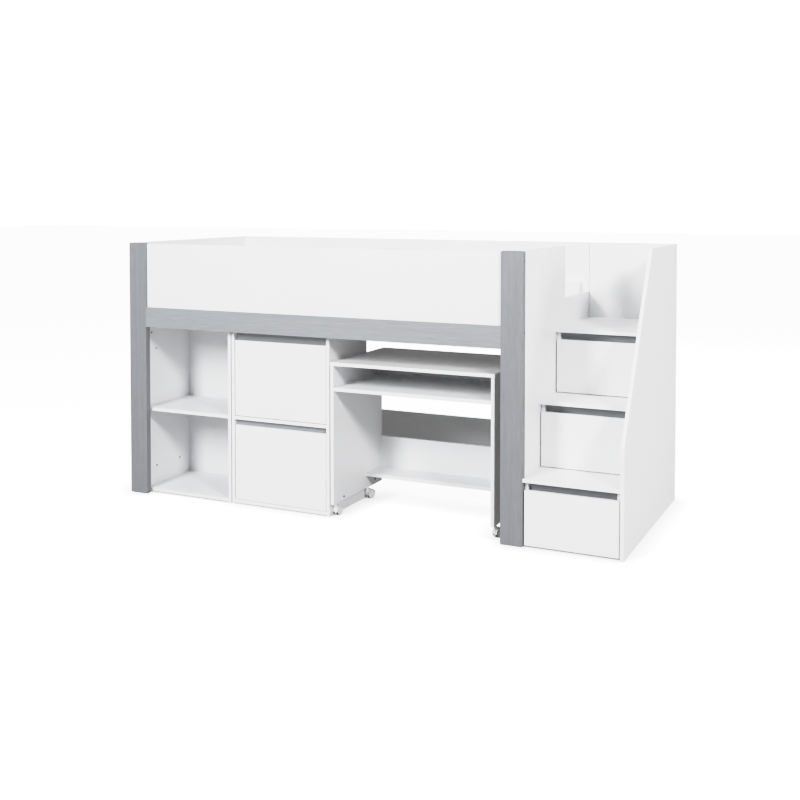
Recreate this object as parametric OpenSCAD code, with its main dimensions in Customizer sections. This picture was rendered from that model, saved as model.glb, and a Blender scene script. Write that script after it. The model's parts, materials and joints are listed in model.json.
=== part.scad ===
// Mid-height loft bed with an open shelf unit, a drawer unit, a roll-out desk and storage stairs.
// The origin is on the floor at the middle of the whole footprint. +X runs from the head of the bed
// to the stairs, +Y from the front to the back, +Z up. Inside place() all coordinates are counted
// from the front left floor corner of the bed.

/* [Bed] */
// Bed length over its end panels
bed_l = 1964; // [1944:10:2044]
// Depth over the posts and the back boards
bed_d = 975; // [955:5:1035]
// Height of the posts and end panels
bed_h = 1190; // [1180:5:1290]
// Width of a front post
post_w = 95; // [80:1:110]
// Thickness of the posts and the front rail
post_t = 28; // [22:1:30]
// Corner radius of the posts
post_round = 7; // [2:1:12]
// Height of the front rail
rail_h = 93; // [85:1:100]
// Height of the top edge of the front rail
rail_top = 887; // [880:1:895]
// Height of the lower edge of the back guard
back_guard_low = 796; // [700:1:796]
// Front edge of the climbing notch in the foot panel, from the front
notch_y = 573; // [540:1:620]
// Sill height of the climbing notch
notch_sill = 957; // [940:1:980]
// Number of boards that the mattress lies on
base_count = 4; // [3:1:6]
// Gap between two of those boards
base_gap = 3; // [2:1:20]

/* [Boards] */
// Thickness of the laminated boards
board = 15; // [15:1:16]
// Thickness of the thin backs and drawer bottoms
thin = 4; // [3:1:5]

/* [Shelf and drawer units] */
// Width of each unit under the bed
unit_w = 510; // [500:1:512]
// Depth of the units
unit_d = 360; // [350:1:420]
// Height of the units
unit_h = 807; // [800:1:820]
// Height of the upper face of the middle shelf
shelf_top = 405; // [380:1:430]
// Height of a finger gap above a lower drawer front
finger_gap = 32; // [25:1:34]

/* [Desk] */
// Desk width
desk_w = 764; // [740:1:765]
// Gap between the drawer unit and the desk
desk_gap = 6; // [6:1:20]
// Depth of the desk sides
desk_side_d = 478; // [460:1:520]
// Height of the desktop
desk_h = 684; // [660:1:700]
// Overhang of the desktop behind the sides
desk_overhang = 52; // [20:1:60]
// Clear height between the desktop and the tray
tray_gap = 97; // [80:1:110]
// Height of the upper face of the foot shelf
foot_shelf_top = 127; // [120:1:160]

/* [Castors] */
// Wheel diameter
wheel_d = 40; // [38:1:42]
// Width of one wheel
wheel_w = 9.6; // [8:0.1:9.6]
// Horizontal offset between the stem and the wheel axle
trail = 19; // [17:1:20]
// Stem diameter
stem_d = 8; // [6:1:8]

/* [Stairs] */
// Width of the stair block
stair_w = 411; // [400:1:450]
// Height of one step
step_rise = 278.5; // [275:0.5:285]
// Depth of one step
step_run = 213.5; // [200:0.5:220]
// Height of the vertical front edge of the outer panel
panel_front_h = 441; // [300:1:500]
// Length of the level top edge of the outer panel
panel_top_l = 512; // [450:1:600]
// Length of a stair drawer box
stair_box_l = 450; // [350:10:450]

/* [Hidden] */
$fn = 48;
total_l = bed_l + stair_w;
// Face heights and depths of the bed
back_y = bed_d - board;
base_z = rail_top - board;
ledge = 30;
back_rail_h = 200;
back_rail_z = 800;
back_rail_end = 25;
guard_drop = 3;
stretcher_z = 97;
stretcher_h = 200;
notch_round = 16;
// Joint clearances
front_gap = 3;
slide_gap = 0.5;
// Units
unit_y = 40;
open_x = 34;
drawer_x = open_x + unit_w + 5;
bottom_top = 20;
recess = 3;
stretcher_recess = 20;
stretcher_drop = 47;
upper_front_top = 753;
upper_front_z = shelf_top + front_gap;
upper_front_h = upper_front_top - upper_front_z;
lower_front_z = bottom_top + 2;
lower_front_h = shelf_top - 9 - finger_gap - lower_front_z;
unit_box_l = 320;
pin_d = 5;
unit_cap_d = 8;
// Drawer boxes
box_t = 12;
runner_h = 17;
runner_reach = 5.5;
groove_up = 58;
side_gap = 3;
bottom_up = 8;
// Desk
desk_x = drawer_x + unit_w + desk_gap;
desk_y = 40;
desktop_lip = 2;
desk_low = 54;
tray_front = 5;
tray_d = 455;
foot_shelf_d = 145;
back_board_h = 160;
cap_d = 10;
// Castors: one row for each, with the side, the distance from the front of the desk and the heading
stem_front = 31;
stem_back = 337;
castors = [[0, stem_front, 80], [0, stem_back, 65], [1, stem_front, 72], [1, stem_back, 235]];
stem_l = 40;
web_w = 5;
web_low = 6;
wheel_gap = 0.4;
axle_d = 6;
fit = 0.05;
hood_t = 2.2;
hood_gap = 0.8;
// Stairs
stair_x = bed_l;
inner_x = stair_x + 2;
inner_w = stair_w - board - 4;
nosing = 8;
step_count = 3;
// Bolts
bolt_d = 6;
bolt_clear = 0.2;
head_d = 10;
head_t = 2;
head_sink = 0.4;
cap_t = 1.2;
post_bolt_l = post_w + 35;
panel_screw_l = board + 30;
post_bolt_z = [rail_top - 25, bed_h - 41];
panel_screw_z = [597, 1105];

WHITE = "whitesmoke";
GREY = "darkgray";
PINE = "burlywood";
STEEL = "silver";

// ---------- helpers ----------

// Moves from the corner of the bed to the part's own origin
module place() {
    translate([-total_l / 2, -bed_d / 2, 0]) children();
}

// A board between two opposite corners
module block(from, to) {
    translate(from) cube(to - from);
}

// A front-facing board with round corners: [w, t, h] at a corner
module round_board(at, size, r) {
    translate(at + [0, size[1], 0]) rotate([90, 0, 0]) linear_extrude(size[1]) union() {
        translate([r, 0]) square([size[0] - 2 * r, size[2]]);
        translate([0, r]) square([size[0], size[2] - 2 * r]);
        for (x = [r, size[0] - r]) {
            for (z = [r, size[2] - r]) {
                translate([x, z]) circle(r);
            }
        }
    }
}

// A rod along +X
module rod_x(at, d, l) {
    translate(at) rotate([0, 90, 0]) cylinder(d = d, h = l);
}

// A drawer box open at the top and closed in front by its own front board; the sides are grooved
module drawer_box(at, w, l, h) {
    groove_w = runner_h + 2 * slide_gap;
    depth = runner_reach + slide_gap;
    translate(at) difference() {
        union() {
            block([0, 0, 0], [box_t, l, h]);
            block([w - box_t, 0, 0], [w, l, h]);
            block([box_t, l - box_t, 0], [w - box_t, l, h]);
            block([box_t, 0, bottom_up], [w - box_t, l - box_t, bottom_up + thin]);
        }
        block([-1, 5, groove_up], [depth, l + 1, groove_up + groove_w]);
        block([w - depth, 5, groove_up], [w + 1, l + 1, groove_up + groove_w]);
    }
}

// The pair of runners of one drawer box, held by the carcass on both sides of it
module runner_pair(at, w, l) {
    reach = side_gap + runner_reach;
    z = groove_up + slide_gap;
    translate(at) {
        block([-side_gap, 8, z], [-side_gap + reach, l - 30, z + runner_h]);
        block([w + side_gap - reach, 8, z], [w + side_gap, l - 30, z + runner_h]);
    }
}

// Places of the drawer boxes
function unit_box_at(front_z) = [drawer_x + board + side_gap, unit_y + recess + board, front_z + 10];
unit_box_w = unit_w - 2 * board - 2 * side_gap;
function step_front_y(i) = i * step_run + nosing;
function step_base(i) = i * step_rise;
function step_front_z(i) = step_base(i) + (i == 0 ? 8 : 3);
step_front_h = step_rise - board - finger_gap;
function step_box_at(i) = [inner_x + board + side_gap, step_front_y(i) + board, step_base(i) + 12];
step_box_w = inner_w - 2 * board - 2 * side_gap;
step_box_h = 190;

// ---------- bed ----------

// A bolt with its head sunk just under the face at z = 0
module bolt(l) {
    translate([0, 0, head_sink]) cylinder(d = head_d, h = head_t);
    translate([0, 0, head_sink]) cylinder(d = bolt_d, h = l);
}

// The stepped hole for such a bolt
module bolt_hole(l) {
    translate([0, 0, -1]) cylinder(d = head_d + 2 * bolt_clear, h = 1 + head_sink + head_t);
    cylinder(d = bolt_d + 2 * bolt_clear, h = l + 2);
}

// Two bolts through each front post into the rail and the guard
module at_post_bolts() {
    for (z = post_bolt_z) {
        translate([0, post_t - board / 2, z]) rotate([0, 90, 0]) children();
        translate([bed_l, post_t - board / 2, z]) rotate([0, -90, 0]) children();
    }
}

// The screws through the outer stair panel into the stair back
module at_panel_screws() {
    for (z = panel_screw_z) {
        translate([total_l, bed_d - board / 2, z]) rotate([0, -90, 0]) children();
    }
}

// A front post with the holes for its bolts
module front_post(x) {
    difference() {
        round_board([x, 0, 0], [post_w, post_t, bed_h], post_round);
        at_post_bolts() bolt_hole(post_bolt_l);
    }
}

module left_front_post() {
    color(GREY) place() front_post(0);
}

module right_front_post() {
    color(GREY) place() front_post(bed_l - post_w);
}

module front_rail() {
    color(GREY) place() difference() {
        block([post_w, 0, rail_top - rail_h], [bed_l - post_w, post_t, rail_top]);
        at_post_bolts() bolt_hole(post_bolt_l);
    }
}

module front_guard() {
    color(WHITE) place() difference() {
        block([post_w, post_t - board, rail_top], [bed_l - post_w, post_t, bed_h - guard_drop]);
        at_post_bolts() bolt_hole(post_bolt_l);
    }
}

module head_end_panel() {
    color(WHITE) place() block([0, post_t, 0], [board, back_y, bed_h]);
}

module foot_end_panel() {
    x = bed_l - board;
    color(WHITE) place() difference() {
        block([x, post_t, 0], [bed_l, back_y, bed_h]);
        difference() {
            block([x - 1, notch_y - notch_round, notch_sill], [bed_l + 1, back_y + 1, bed_h + 1]);
            block(
                [x - 2, notch_y - notch_round - 1, notch_sill - 1],
                [bed_l + 2, notch_y, bed_h - notch_round]
            );
            rod_x([x - 2, notch_y - notch_round, bed_h - notch_round], 2 * notch_round, board + 4);
        }
    }
}

module back_guard() {
    color(WHITE) place() block([0, back_y, back_guard_low], [bed_l, bed_d, bed_h]);
}

module back_stretcher() {
    color(WHITE) place() block([0, back_y, stretcher_z], [bed_l, bed_d, stretcher_z + stretcher_h]);
}

module back_rail() {
    end = board + back_rail_end;
    color(WHITE) place()
        block([end, back_y - post_t, back_rail_z], [bed_l - end, back_y, back_rail_z + back_rail_h]);
}

// Battens on the front rail and the back rail that carry the base boards
module base_ledges() {
    color(PINE) place() for (y = [post_t, back_y - post_t - ledge]) {
        block([post_w, y, base_z - ledge], [bed_l - post_w, y + ledge, base_z]);
    }
}

// Loose boards side by side under the mattress
module base_boards() {
    room = bed_l - 2 * board;
    pitch = (room - base_gap) / base_count;
    color(WHITE) place() for (i = [0 : base_count - 1]) {
        x = board + base_gap + i * pitch;
        block([x, post_t + 1, base_z], [x + pitch - base_gap, back_y - post_t - 1, rail_top]);
    }
}

// Long furniture bolts through the posts, and the screws that hold the stair back to its panel
module connector_bolts() {
    color(STEEL) place() {
        at_post_bolts() bolt(post_bolt_l);
        at_panel_screws() bolt(panel_screw_l);
    }
}

// ---------- open shelf unit ----------

module unit_side(x) {
    block([x, unit_y, 0], [x + board, unit_y + unit_d - thin, unit_h]);
}

// A level board between the sides of a unit that starts at x
module unit_level(x, z, front) {
    block([x + board, unit_y + front, z], [x + unit_w - board, unit_y + unit_d - thin, z + board]);
}

module unit_back(x) {
    y = unit_y + unit_d - thin;
    block([x, y, 0], [x + unit_w, y + thin, unit_h]);
}

module shelf_pin_rods(d, reach) {
    z = shelf_top - board - pin_d / 2;
    for (y = [unit_y + 40, unit_y + unit_d - 60]) {
        rod_x([open_x + board - reach, y, z], d, reach + 8);
        rod_x([open_x + unit_w - board - 8, y, z], d, reach + 8);
    }
}

module open_unit_left_side() {
    color(WHITE) place() difference() {
        unit_side(open_x);
        shelf_pin_rods(pin_d + 0.2, 9);
    }
}

module open_unit_right_side() {
    color(WHITE) place() difference() {
        unit_side(open_x + unit_w - board);
        shelf_pin_rods(pin_d + 0.2, 9);
    }
}

module open_unit_top() {
    color(WHITE) place() unit_level(open_x, unit_h - board, 0);
}

module open_unit_shelf() {
    color(WHITE) place() unit_level(open_x, shelf_top - board, 1);
}

module open_unit_bottom() {
    color(WHITE) place() unit_level(open_x, bottom_top - board, 0);
}

// Low round caps over the screws, on the inner faces of the two sides
module open_unit_screw_caps() {
    spots = [[92, 675], [59, 755], [92, 104], [273, 104]];
    color(GREY) place() for (s = spots) {
        rod_x([open_x + board, unit_y + s[0], s[1]], unit_cap_d, cap_t);
        rod_x([open_x + unit_w - board - cap_t, unit_y + s[0], s[1]], unit_cap_d, cap_t);
    }
}

module shelf_pins() {
    color(STEEL) place() shelf_pin_rods(pin_d, 8);
}

// ---------- drawer unit ----------

module drawer_unit_left_side() {
    color(WHITE) place() unit_side(drawer_x);
}

module drawer_unit_right_side() {
    color(WHITE) place() unit_side(drawer_x + unit_w - board);
}

module drawer_unit_top() {
    color(WHITE) place() unit_level(drawer_x, unit_h - board, 0);
}

// Recessed stretchers behind the finger gaps, under the top and under the divider
module drawer_unit_stretchers() {
    y = unit_y + stretcher_recess;
    color(GREY) place() for (top = [unit_h - board, shelf_top - board]) {
        block(
            [drawer_x + board, y, top - stretcher_drop],
            [drawer_x + unit_w - board, y + board, top]
        );
    }
}

module drawer_unit_divider() {
    color(WHITE) place() unit_level(drawer_x, shelf_top - board, 0);
}

module drawer_unit_bottom() {
    color(WHITE) place() unit_level(drawer_x, bottom_top - board, 0);
}

// Thin backs of the shelf unit and the drawer unit
module unit_backs() {
    color(WHITE) place() for (x = [open_x, drawer_x]) {
        unit_back(x);
    }
}

module unit_front(z, h) {
    x = drawer_x + board + front_gap;
    y = unit_y + recess;
    block([x, y, z], [x + unit_w - 2 * board - 2 * front_gap, y + board, z + h]);
}

module upper_drawer_front() {
    color(WHITE) place() unit_front(upper_front_z, upper_front_h);
}

module lower_drawer_front() {
    color(WHITE) place() unit_front(lower_front_z, lower_front_h);
}

module upper_drawer_box() {
    color(WHITE) place() drawer_box(unit_box_at(upper_front_z), unit_box_w, unit_box_l, upper_front_h - 40);
}

module lower_drawer_box() {
    color(WHITE) place() drawer_box(unit_box_at(lower_front_z), unit_box_w, unit_box_l, lower_front_h - 40);
}

// Runners of all five drawers, fixed to the carcasses
module drawer_runners() {
    color(STEEL) place() {
        for (z = [lower_front_z, upper_front_z]) {
            runner_pair(unit_box_at(z), unit_box_w, unit_box_l);
        }
        for (i = [0 : step_count - 1]) {
            runner_pair(step_box_at(i), step_box_w, stair_box_l);
        }
    }
}

// ---------- roll-out desk ----------

module desktop() {
    color(WHITE) place() block(
        [desk_x - desktop_lip, desk_y - desktop_lip, desk_h - board],
        [desk_x + desk_w + desktop_lip, desk_y + desk_side_d + desk_overhang, desk_h]
    );
}

// A desk side with the sockets for its two castor stems
module desk_side(side) {
    x = desk_x + side * (desk_w - board);
    difference() {
        block([x, desk_y, desk_low], [x + board, desk_y + desk_side_d, desk_h - board]);
        for (c = castors) {
            if (c[0] == side) {
                translate([x + board / 2, desk_y + c[1], desk_low - 1])
                    cylinder(d = stem_d + 2 * fit, h = stem_l + 2);
            }
        }
    }
}

module desk_left_side() {
    color(WHITE) place() desk_side(0);
}

module desk_right_side() {
    color(WHITE) place() desk_side(1);
}

module desk_tray() {
    top = desk_h - board - tray_gap;
    color(WHITE) place() block(
        [desk_x + board, desk_y + tray_front, top - board],
        [desk_x + desk_w - board, desk_y + tray_front + tray_d, top]
    );
}

// Closes the compartment between the desktop and the tray at the back
module desk_compartment_back() {
    y = desk_y + tray_front + tray_d;
    top = desk_h - board;
    color(WHITE) place() block(
        [desk_x + board, y, top - tray_gap - board],
        [desk_x + desk_w - board, y + board, top]
    );
}

module desk_foot_shelf() {
    back = desk_y + desk_side_d - 23;
    color(WHITE) place() block(
        [desk_x + board, back - foot_shelf_d, foot_shelf_top - board],
        [desk_x + desk_w - board, back, foot_shelf_top]
    );
}

module desk_back_board() {
    y = desk_y + desk_side_d - 23;
    z = foot_shelf_top - board;
    color(WHITE) place()
        block([desk_x + board, y, z], [desk_x + desk_w - board, y + board, z + back_board_h]);
}

// Low round caps on the inner faces of the desk sides
module desk_screw_caps() {
    spots = [[95, 70], [95, desk_h - 30], [desk_side_d - 74, 78]];
    color(GREY) place() for (s = spots) {
        rod_x([desk_x + board, desk_y + s[0], s[1]], cap_d, cap_t);
        rod_x([desk_x + desk_w - board - cap_t, desk_y + s[0], s[1]], cap_d, cap_t);
    }
}

// ---------- castors ----------

// Moves to a castor's stem axis and turns to its heading: the axle lies at +X, the wheels' axis is Y
module at_castor(c) {
    x = desk_x + board / 2 + c[0] * (desk_w - board);
    place() translate([x, desk_y + c[1], 0]) rotate([0, 0, c[2]]) children();
}

// A cylinder on the wheels' axis
module on_axle(d, w) {
    translate([trail, w / 2, wheel_d / 2]) rotate([90, 0, 0]) cylinder(d = d, h = w);
}

// Half the width over both wheels
half_w = web_w / 2 + wheel_gap + wheel_w;
hood_in = wheel_d + 2 * hood_gap;
hood_out = hood_in + 2 * hood_t;

// Everything in front of x, below top, over the width of the castor
module castor_cut(x, top) {
    translate([x, -half_w - 1, -wheel_d]) cube([2 * wheel_d, 2 * half_w + 2, wheel_d + top]);
}

// Arched shell over both wheels, open below and at the trailing end
module hood_shell() {
    difference() {
        on_axle(hood_out, 2 * half_w);
        on_axle(hood_in, 2 * half_w + 2);
        castor_cut(-wheel_d / 2, wheel_d / 2 - 4);
        castor_cut(trail + 6, wheel_d / 2 + 6);
    }
}

// Web between the wheels, which holds the axle
module hood_web() {
    difference() {
        on_axle(hood_in + hood_t, web_w);
        castor_cut(-wheel_d / 2, web_low);
        castor_cut(trail + 14, wheel_d / 2 + 6);
    }
}

// Boss under the stem, clear of the wheels
module stem_boss() {
    boss_z = wheel_d / 2 + 4;
    difference() {
        translate([0, 0, boss_z]) cylinder(d = 2 * stem_d, h = desk_low - boss_z - 0.6);
        on_axle(hood_in, 4 * stem_d);
    }
}

// Hood, web, boss and stem in one piece, with the axle's hole
module castor_hood(c) {
    color(WHITE) at_castor(c) difference() {
        union() {
            hood_shell();
            hood_web();
            stem_boss();
            translate([0, 0, desk_low - 1]) cylinder(d = stem_d, h = stem_l);
        }
        on_axle(axle_d + 2 * fit, web_w + 2);
    }
}

// Two wheels on one axle
module castor_wheels(c) {
    off = web_w / 2 + wheel_gap;
    color(WHITE) at_castor(c) {
        on_axle(axle_d, 2 * off + 2);
        for (s = [-1, 1]) {
            translate([0, s * (off + wheel_w / 2), 0]) on_axle(wheel_d, wheel_w);
        }
    }
}

module castor_hood_front_left() {
    castor_hood(castors[0]);
}

module castor_hood_back_left() {
    castor_hood(castors[1]);
}

module castor_hood_front_right() {
    castor_hood(castors[2]);
}

module castor_hood_back_right() {
    castor_hood(castors[3]);
}

module castor_wheels_front_left() {
    castor_wheels(castors[0]);
}

module castor_wheels_back_left() {
    castor_wheels(castors[1]);
}

module castor_wheels_front_right() {
    castor_wheels(castors[2]);
}

module castor_wheels_back_right() {
    castor_wheels(castors[3]);
}

// ---------- stairs ----------

module stair_outer_panel() {
    outline = [[0, 0], [bed_d, 0], [bed_d, bed_h], [bed_d - panel_top_l, bed_h], [0, panel_front_h]];
    color(WHITE) place() difference() {
        translate([total_l - board, 0, 0]) rotate([90, 0, 90]) linear_extrude(board) polygon(outline);
        at_panel_screws() bolt_hole(panel_screw_l);
    }
}

module stair_back_panel() {
    color(WHITE) place() difference() {
        block([inner_x, back_y, 0], [total_l - board, bed_d, bed_h]);
        at_panel_screws() bolt_hole(panel_screw_l);
    }
}

module tread(i) {
    z = (i + 1) * step_rise;
    block([stair_x, i * step_run, z - board], [total_l - board, back_y, z]);
}

module lower_tread() {
    color(WHITE) place() tread(0);
}

module middle_tread() {
    color(WHITE) place() tread(1);
}

module top_tread() {
    color(WHITE) place() tread(2);
}

// Front edge of the inner sides of a step, just behind its drawer front
function step_side_y(i) = step_front_y(i) + board + 1;

// The inner sides that carry the treads, two for each step
module stair_inner_sides() {
    color(WHITE) place() for (x = [inner_x, inner_x + inner_w - board]) {
        for (i = [0 : step_count - 1]) {
            low = step_base(i);
            block([x, step_side_y(i), low], [x + board, back_y, low + step_rise - board]);
        }
    }
}

// A recessed stretcher under the front of each tread, behind the finger gap
module stair_stretchers() {
    color(GREY) place() for (i = [0 : step_count - 1]) {
        y = step_side_y(i) + stretcher_recess;
        top = step_base(i) + step_rise - board;
        block(
            [inner_x + board, y, top - stretcher_drop],
            [inner_x + inner_w - board, y + board, top]
        );
    }
}

module step_front(i) {
    x = inner_x + front_gap;
    y = step_front_y(i);
    z = step_front_z(i);
    top = step_base(i) + step_front_h;
    block([x, y, z], [inner_x + inner_w - front_gap, y + board, top]);
}

module lower_step_drawer_front() {
    color(WHITE) place() step_front(0);
}

module middle_step_drawer_front() {
    color(WHITE) place() step_front(1);
}

module top_step_drawer_front() {
    color(WHITE) place() step_front(2);
}

module lower_step_drawer_box() {
    color(WHITE) place() drawer_box(step_box_at(0), step_box_w, stair_box_l, step_box_h);
}

module middle_step_drawer_box() {
    color(WHITE) place() drawer_box(step_box_at(1), step_box_w, stair_box_l, step_box_h);
}

module top_step_drawer_box() {
    color(WHITE) place() drawer_box(step_box_at(2), step_box_w, stair_box_l, step_box_h);
}

// ---------- every sub-part ----------

left_front_post();
right_front_post();
front_rail();
front_guard();
head_end_panel();
foot_end_panel();
back_guard();
back_stretcher();
back_rail();
base_ledges();
base_boards();
connector_bolts();
open_unit_left_side();
open_unit_right_side();
open_unit_top();
open_unit_shelf();
open_unit_bottom();
open_unit_screw_caps();
shelf_pins();
drawer_unit_left_side();
drawer_unit_right_side();
drawer_unit_top();
drawer_unit_stretchers();
drawer_unit_divider();
drawer_unit_bottom();
unit_backs();
upper_drawer_front();
upper_drawer_box();
lower_drawer_front();
lower_drawer_box();
drawer_runners();
desktop();
desk_left_side();
desk_right_side();
desk_tray();
desk_compartment_back();
desk_foot_shelf();
desk_back_board();
desk_screw_caps();
castor_hood_front_left();
castor_hood_back_left();
castor_hood_front_right();
castor_hood_back_right();
castor_wheels_front_left();
castor_wheels_back_left();
castor_wheels_front_right();
castor_wheels_back_right();
stair_outer_panel();
stair_back_panel();
lower_tread();
middle_tread();
top_tread();
stair_inner_sides();
stair_stretchers();
lower_step_drawer_front();
middle_step_drawer_front();
top_step_drawer_front();
lower_step_drawer_box();
middle_step_drawer_box();
top_step_drawer_box();
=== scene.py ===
import json
import math

import bmesh
import bpy
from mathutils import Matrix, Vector


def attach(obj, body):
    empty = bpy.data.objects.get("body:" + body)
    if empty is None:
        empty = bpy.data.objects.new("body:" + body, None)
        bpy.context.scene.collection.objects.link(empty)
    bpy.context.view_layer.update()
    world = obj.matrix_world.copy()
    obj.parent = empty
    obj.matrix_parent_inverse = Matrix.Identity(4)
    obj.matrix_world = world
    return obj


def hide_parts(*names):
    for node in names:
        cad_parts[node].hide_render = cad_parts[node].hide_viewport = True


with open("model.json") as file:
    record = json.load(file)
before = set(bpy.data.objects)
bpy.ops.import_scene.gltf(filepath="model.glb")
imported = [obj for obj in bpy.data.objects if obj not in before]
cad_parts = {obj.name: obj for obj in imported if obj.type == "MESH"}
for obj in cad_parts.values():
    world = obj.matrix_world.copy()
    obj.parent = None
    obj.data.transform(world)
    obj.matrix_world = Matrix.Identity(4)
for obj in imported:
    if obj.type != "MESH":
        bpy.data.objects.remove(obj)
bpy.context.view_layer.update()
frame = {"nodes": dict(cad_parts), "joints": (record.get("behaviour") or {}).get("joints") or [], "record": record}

nodes = frame["nodes"]

# Driving values, in metres and degrees

# Camera
CAMERA_AT = (2.1959, -4.6128, 1.3983)
CAMERA_TURN = 25.366
CAMERA_PITCH = 2.009
CAMERA_LENS = 49.165
CAMERA_SHIFT = (-0.0016, -0.2036)

# Rounding of the boards' edges and of the posts' edges
EDGE_ROUND = 0.0003
POST_EDGE_ROUND = 0.002

# Colours
WHITE = (0.80, 0.802, 0.81)
POST_GREY = (0.21, 0.215, 0.225)
RAIL_GREY = (0.265, 0.272, 0.285)
PINE_LIGHT = (0.71, 0.52, 0.32)
PINE_DARK = (0.52, 0.33, 0.17)

# Floor and backdrop: glow and backdrop are what only the camera sees; the floor's glow is dimmed near the pieces
# by the shade values, a painted contact shadow
FLOOR_SIZE = 40.0
FLOOR_TONE = (0.44, 0.44, 0.44)
FLOOR_GLOW = 2.12
FLOOR_SHADE = 0.1
FLOOR_SHADE_REACH = 0.13
WORLD_FILL = 0.35
BACKDROP = 2.6

# Tone curve: the light that comes out pure white, and points of light and tone below it
WHITE_LIGHT = 2.5
TONE_POINTS = ((0.3, 0.3), (0.6, 0.585), (0.9, 0.75), (1.2, 0.83), (1.5, 0.87))

# Castor wheels: places along the axle are measured from the middle of the pair
WHEEL_INNER = 0.0029
WHEEL_OUTER = 0.0125
WHEEL_RIM = 0.0191
WHEEL_TREAD = 0.02
HUB_RADIUS = 0.0058
AXLE_RADIUS = 0.003
AXLE_REACH = 0.0039


# ---------- materials ----------

class Shader:
    """A material's node tree with short helpers. Textures use object space: the row frame."""

    def __init__(self, name):
        self.material = bpy.data.materials.new(name)
        self.material.use_nodes = True
        self.tree = self.material.node_tree
        self.tree.nodes.clear()
        self.bsdf = self.add("ShaderNodeBsdfPrincipled")
        out = self.add("ShaderNodeOutputMaterial")
        self.link(self.bsdf.outputs["BSDF"], out.inputs["Surface"])
        self.place = self.add("ShaderNodeTexCoord").outputs["Object"]

    def add(self, kind, **settings):
        node = self.tree.nodes.new(kind)
        for key, value in settings.items():
            setattr(node, key, value)
        return node

    def link(self, a, b):
        self.tree.links.new(a, b)

    def stretched(self, scale):
        """Coordinates stretched along one axis, for grain."""
        mapping = self.add("ShaderNodeMapping")
        mapping.inputs["Scale"].default_value = scale
        self.link(self.place, mapping.inputs["Vector"])
        return mapping.outputs["Vector"]

    def noise(self, vector, scale, detail=2.0, roughness=0.5):
        node = self.add("ShaderNodeTexNoise")
        node.inputs["Scale"].default_value = scale
        node.inputs["Detail"].default_value = detail
        node.inputs["Roughness"].default_value = roughness
        self.link(vector, node.inputs["Vector"])
        return node.outputs["Fac"]

    def ramp(self, value, low, high, colour_low, colour_high):
        node = self.add("ShaderNodeValToRGB")
        first, last = node.color_ramp.elements
        first.position, last.position = low, high
        first.color = (*colour_low, 1)
        last.color = (*colour_high, 1)
        self.link(value, node.inputs["Fac"])
        return node.outputs["Color"]

    def mix(self, a, b, factor):
        node = self.add("ShaderNodeMix", data_type="RGBA", blend_type="MULTIPLY")
        node.inputs["Factor"].default_value = factor
        self.link(a, node.inputs["A"])
        self.link(b, node.inputs["B"])
        return node.outputs["Result"]

    def span(self, value, low, high):
        """Maps a 0 to 1 value onto low to high."""
        node = self.add("ShaderNodeMapRange")
        node.inputs["To Min"].default_value = low
        node.inputs["To Max"].default_value = high
        self.link(value, node.inputs["Value"])
        return node.outputs["Result"]

    def openness(self, reach):
        """1 in the open, 0.5 against a wall.

        Only for staged pieces: it depends on where the neighbours stand.
        """
        node = self.add("ShaderNodeAmbientOcclusion", samples=8)
        node.inputs["Distance"].default_value = reach
        return node.outputs["AO"]

    def bump(self, height, distance, strength=1.0):
        node = self.add("ShaderNodeBump")
        node.inputs["Distance"].default_value = distance
        node.inputs["Strength"].default_value = strength
        self.link(height, node.inputs["Height"])
        return node.outputs["Normal"]

    def surface(self, colour=None, roughness=None, normal=None, **values):
        for key, socket in (("Base Color", colour), ("Roughness", roughness), ("Normal", normal)):
            if socket is not None:
                self.link(socket, self.bsdf.inputs[key])
        for key, value in values.items():
            self.bsdf.inputs[key.replace("_", " ")].default_value = value
        return self.material


def shade(colour, factor):
    return tuple(min(1.0, c * factor) for c in colour)


def white_foil(name, colour, roughness):
    """Melamine foil: a fine pearl texture, and a very faint cloudiness."""
    s = Shader(name)
    pearl = s.noise(s.place, 900.0, 2.0)
    cloud = s.noise(s.place, 3.0, 3.0)
    tone = s.ramp(cloud, 0.3, 0.7, shade(colour, 0.985), colour)
    gloss = s.span(s.noise(s.place, 60.0, 2.0), roughness - 0.04, roughness + 0.04)
    return s.surface(tone, gloss, s.bump(pearl, 0.00004, 0.5))


def grey_foil(name, colour, grain_axis):
    """Grey foil printed and embossed with a fine straight grain along one axis."""
    s = Shader(name)
    across, along = 1.0, 0.02
    scale = [across] * 3
    scale[grain_axis] = along
    fine = s.noise(s.stretched(scale), 620.0, 4.0, 0.6)
    broad = s.noise(s.stretched(scale), 70.0, 3.0, 0.55)
    streaks = s.ramp(fine, 0.3, 0.72, shade(colour, 0.84), shade(colour, 1.1))
    bands = s.ramp(broad, 0.3, 0.7, (0.93, 0.93, 0.93), (1.0, 1.0, 1.0))
    gloss = s.span(fine, 0.42, 0.56)
    return s.surface(s.mix(streaks, bands, 1.0), gloss, s.bump(fine, 0.0001, 0.5))


def pine_wood():
    """Planed pine with the grain along the battens, which run the length of the bed."""
    s = Shader("pine")
    rings = s.noise(s.stretched((0.06, 1.0, 1.0)), 45.0, 3.0, 0.6)
    fibres = s.noise(s.stretched((0.02, 1.0, 1.0)), 700.0, 3.0)
    tone = s.ramp(rings, 0.35, 0.62, PINE_LIGHT, PINE_DARK)
    fleck = s.ramp(fibres, 0.3, 0.7, (0.88, 0.86, 0.82), (1.0, 1.0, 1.0))
    gloss = s.span(fibres, 0.5, 0.68)
    return s.surface(s.mix(tone, fleck, 1.0), gloss, s.bump(fibres, 0.0001, 0.4))


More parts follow.
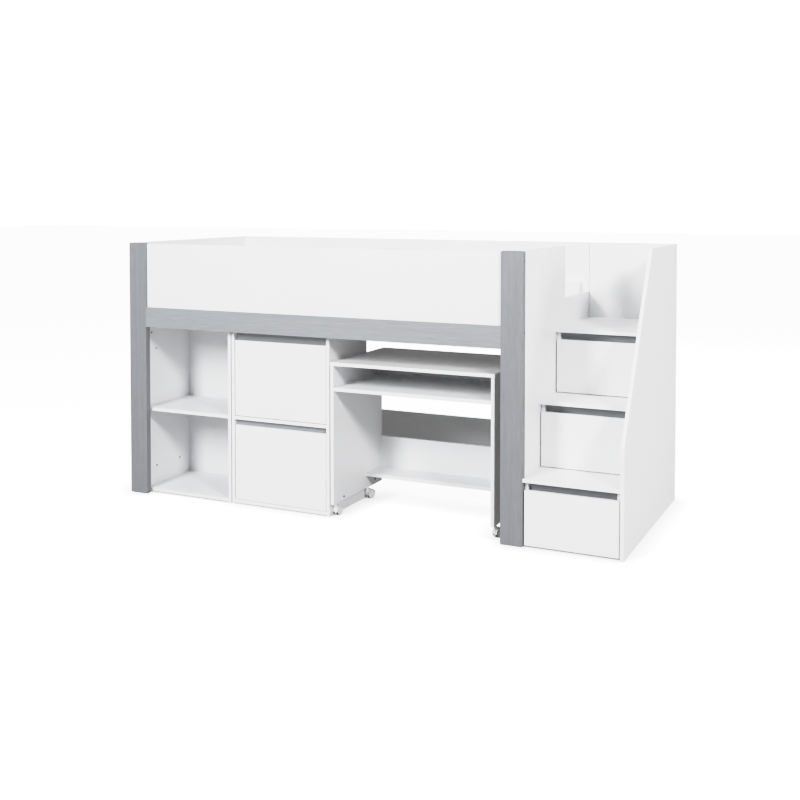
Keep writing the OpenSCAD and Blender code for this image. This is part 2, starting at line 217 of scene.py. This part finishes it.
def moulded(name, colour, roughness, coat=0.0):
    """Injection-moulded plastic with a faint orange-peel."""
    s = Shader(name)
    peel = s.noise(s.place, 500.0, 2.0)
    tone = s.ramp(s.noise(s.place, 25.0, 2.0), 0.3, 0.7, shade(colour, 0.97), colour)
    gloss = s.span(peel, roughness - 0.04, roughness + 0.06)
    return s.surface(tone, gloss, s.bump(peel, 0.00003, 0.4), Coat_Weight=coat)


def plated_steel(name, colour):
    s = Shader(name)
    crystal = s.noise(s.place, 260.0, 3.0)
    tone = s.ramp(crystal, 0.3, 0.7, shade(colour, 0.75), colour)
    return s.surface(tone, s.span(crystal, 0.28, 0.45), s.bump(crystal, 0.00003, 0.4), Metallic=1.0)


def studio_floor():
    """Pale paper that the camera sees as overexposed white, with only a trace of the shadows: the real ones in its
    own faint tone, and painted contact shade where its glow is dimmed near other pieces.
    """
    s = Shader("studio_floor")
    tone = s.ramp(s.noise(s.place, 2.0, 2.0), 0.3, 0.7, shade(FLOOR_TONE, 0.99), FLOOR_TONE)
    # Painted shade: the camera-only glow is dimmed where other pieces stand close, down to FLOOR_SHADE of it
    # against a wall
    glow_with_painted_shade = s.span(s.openness(FLOOR_SHADE_REACH), FLOOR_SHADE * FLOOR_GLOW, FLOOR_GLOW)
    glow = s.add("ShaderNodeMath", operation="MULTIPLY")
    s.link(glow_with_painted_shade, glow.inputs[1])
    s.link(s.add("ShaderNodeLightPath").outputs["Is Camera Ray"], glow.inputs[0])
    s.link(glow.outputs["Value"], s.bsdf.inputs["Emission Strength"])
    return s.surface(tone, Roughness=0.9, Emission_Color=(1.0, 1.0, 1.0, 1.0))


MATERIALS = {
    "white_board": white_foil("white_foil", WHITE, 0.42),
    "drawer_board": white_foil("drawer_foil", shade(WHITE, 0.97), 0.5),
    "thin_back": white_foil("back_lacquer", shade(WHITE, 0.98), 0.55),
    "pine": pine_wood(),
    "steel": plated_steel("zinc_steel", (0.62, 0.63, 0.65)),
    "dark_steel": plated_steel("black_steel", (0.03, 0.03, 0.033)),
    "runner_plastic": moulded("runner_plastic", (0.7, 0.7, 0.7), 0.5),
    # Near-black plastic plugs: their near-black also paints the shade of the drilled holes they sit in
    "cap_plastic": moulded("cap_plastic", (0.012, 0.012, 0.013), 0.6),
    "castor_plastic": moulded("castor_plastic", (0.8, 0.8, 0.8), 0.3, 0.3),
    "castor_wheel": moulded("castor_disc", (0.74, 0.74, 0.75), 0.35),
}
GRAIN_UP = grey_foil("grey_foil_upright", POST_GREY, 2)
GRAIN_LONG = grey_foil("grey_foil_level", RAIL_GREY, 0)
TYRE = moulded("castor_tyre", (0.035, 0.035, 0.037), 0.55)
DISC = MATERIALS["castor_wheel"]


# ---------- CAD nodes: material and softened edges ----------

def soften(obj, width):
    """Rounds the edges of a board slightly, as its edge banding is."""
    weld = obj.modifiers.new("weld", "WELD")
    weld.merge_threshold = 0.00001
    flat = obj.modifiers.new("flat_faces", "DECIMATE")
    flat.decimate_type = "DISSOLVE"
    flat.angle_limit = math.radians(1)
    bevel = obj.modifiers.new("edge_round", "BEVEL")
    bevel.width = width
    bevel.segments = 2
    bevel.limit_method = "ANGLE"
    bevel.angle_limit = math.radians(40)
    bevel.harden_normals = True


def dress(node, slot):
    obj = nodes[node]
    if slot == "grey_board":
        material = GRAIN_UP if node.endswith("_post") else GRAIN_LONG
    else:
        material = MATERIALS[slot]
    obj.data.materials.clear()
    obj.data.materials.append(material)
    if node.endswith("_post"):
        soften(obj, POST_EDGE_ROUND)
    elif slot.endswith("_board") or slot == "pine":
        soften(obj, EDGE_ROUND)


for part in frame["record"]["subparts"]:
    dress(part["node"], part["material_slot"])


# ---------- castor wheels ----------

def turned(bm, profile, centre, axis, steps=72):
    """Adds a solid of revolution: the profile is a loop of (radius, place along the axis)."""
    side = axis.orthogonal().normalized()
    other = axis.cross(side)
    rings = []
    for k in range(steps):
        a = 2 * math.pi * k / steps
        out = side * math.cos(a) + other * math.sin(a)
        rings.append([bm.verts.new(centre + axis * along + out * r) for r, along in profile])
    for k in range(steps):
        here, there = rings[k], rings[(k + 1) % steps]
        for i in range(len(profile)):
            j = (i + 1) % len(profile)
            if profile[i][0] > 0 or profile[j][0] > 0:
                bm.faces.new((here[i], here[j], there[j], there[i]))


def turned_piece(name, profiles, centre, axis, material, body):
    bm = bmesh.new()
    for profile in profiles:
        turned(bm, profile, centre, axis)
    bmesh.ops.remove_doubles(bm, verts=bm.verts, dist=0.00001)
    bmesh.ops.recalc_face_normals(bm, faces=bm.faces)
    mesh = bpy.data.meshes.new(name)
    bm.to_mesh(mesh)
    bm.free()
    mesh.materials.append(material)
    obj = bpy.data.objects.new(name, mesh)
    bpy.context.scene.collection.objects.link(obj)
    mesh.shade_smooth()
    mesh.set_sharp_from_angle(angle=math.radians(35))
    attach(obj, body)
    return obj


def both_sides(profile):
    return [profile, [(r, -along) for r, along in profile]]


def castor_pieces(corner):
    """White wheel discs with a hub and a rim, and a dark tyre round each."""
    joint = next(j for j in frame["joints"] if j["name"] == f"wheels_{corner}_spin")
    centre, axis = Vector(joint["pos_m"]), Vector(joint["axis"]).normalized()
    low, high = WHEEL_INNER, WHEEL_OUTER
    hub, rim, tread = HUB_RADIUS, WHEEL_RIM, WHEEL_TREAD
    disc = [
        (0.0, low + 0.0002), (rim, low + 0.0002), (rim, high - 0.0005), (rim - 0.0005, high),
        (rim - 0.0025, high), (rim - 0.0031, high - 0.0009), (hub + 0.0006, high - 0.0013),
        (hub, high - 0.0004), (hub - 0.0008, high), (0.0, high),
    ]
    tyre = [
        (rim, low + 0.0001), (tread - 0.0007, low), (tread, low + 0.0007), (tread, high - 0.0009),
        (tread - 0.0007, high - 0.0002), (rim, high - 0.0003),
    ]
    axle = [
        (0.0, -AXLE_REACH), (AXLE_RADIUS, -AXLE_REACH), (AXLE_RADIUS, AXLE_REACH), (0.0, AXLE_REACH),
    ]
    body = f"wheels_{corner}"
    discs = turned_piece(
        f"castor_discs_{corner}", both_sides(disc) + [axle], centre, axis, DISC, body
    )
    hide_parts(f"castor_wheels_{corner}")
    turned_piece(
        f"castor_tyres_{corner}", both_sides(tyre), centre, axis, TYRE, body
    )


for end in ("front", "back"):
    for side in ("left", "right"):
        castor_pieces(f"{end}_{side}")


# ---------- stage, light and camera ----------

def area_light(name, at, target, size, power, colour=(1.0, 1.0, 1.0)):
    data = bpy.data.lights.new(name, "AREA")
    data.shape = "RECTANGLE"
    data.size, data.size_y = size
    data.energy = power
    data.color = colour
    obj = bpy.data.objects.new(name, data)
    obj.location = at
    obj.rotation_euler = (Vector(target) - Vector(at)).to_track_quat("-Z", "Y").to_euler()
    bpy.context.scene.collection.objects.link(obj)


def make_floor(size):
    mesh = bpy.data.meshes.new("floor")
    bm = bmesh.new()
    bmesh.ops.create_grid(bm, x_segments=1, y_segments=1, size=size)
    bm.to_mesh(mesh)
    bm.free()
    floor = bpy.data.objects.new("floor", mesh)
    mesh.materials.append(studio_floor())
    bpy.context.scene.collection.objects.link(floor)


def make_world(fill, seen):
    """Even fill light, which the camera sees as a white backdrop."""
    world = bpy.data.worlds.new("studio")
    world.use_nodes = True
    tree = world.node_tree
    background = tree.nodes["Background"]
    background.inputs["Color"].default_value = (1.0, 1.0, 1.0, 1.0)
    span = tree.nodes.new("ShaderNodeMapRange")
    span.inputs["To Min"].default_value = fill
    span.inputs["To Max"].default_value = seen
    path = tree.nodes.new("ShaderNodeLightPath")
    tree.links.new(path.outputs["Is Camera Ray"], span.inputs["Value"])
    tree.links.new(span.outputs["Result"], background.inputs["Strength"])
    bpy.context.scene.world = world


def set_tones(white, points):
    """A film-like shoulder: white is the light that comes out as pure white."""
    view = bpy.context.scene.view_settings
    view.view_transform = "Standard"
    view.use_curve_mapping = True
    mapping = view.curve_mapping
    mapping.white_level = (white, white, white)
    curve = mapping.curves[3]
    for light, tone in points:
        curve.points.new(light / white, tone)
    mapping.update()


def make_camera():
    data = bpy.data.cameras.new("camera")
    data.lens = CAMERA_LENS
    data.sensor_width = 36.0
    data.shift_x, data.shift_y = CAMERA_SHIFT
    data.clip_end = 100.0
    camera = bpy.data.objects.new("camera", data)
    camera.location = CAMERA_AT
    camera.rotation_euler = (math.radians(90 - CAMERA_PITCH), 0.0, math.radians(CAMERA_TURN))
    bpy.context.scene.collection.objects.link(camera)
    bpy.context.scene.camera = camera


make_floor(FLOOR_SIZE)
make_world(WORLD_FILL, BACKDROP)
area_light(
    "key_left", at=(-1.15, -4.99, 3.05), target=(0.0, 0.0, 0.6), size=(1.0, 1.8), power=300.0,
    colour=(0.975, 0.985, 1.0),
)
area_light(
    "key_right", at=(5.5, -4.4, 4.0), target=(0.6, 0.0, 0.6), size=(1.0, 1.0), power=350.0
)
area_light(
    "fill_right", at=(4.6, 0.9, 1.6), target=(1.2, 0.0, 0.6), size=(2.0, 1.6), power=70.0
)
area_light(
    "fill_top", at=(0.6, -0.6, 4.4), target=(0.4, 0.0, 0.6), size=(3.0, 2.0), power=50.0
)
area_light(
    "fill_back", at=(0.5, 5.5, 3.0), target=(0.2, 0.0, 0.6), size=(3.0, 2.0), power=64.0
)
make_camera()
set_tones(WHITE_LIGHT, TONE_POINTS)


# ---------- scene update -------


bpy.context.view_layer.update()
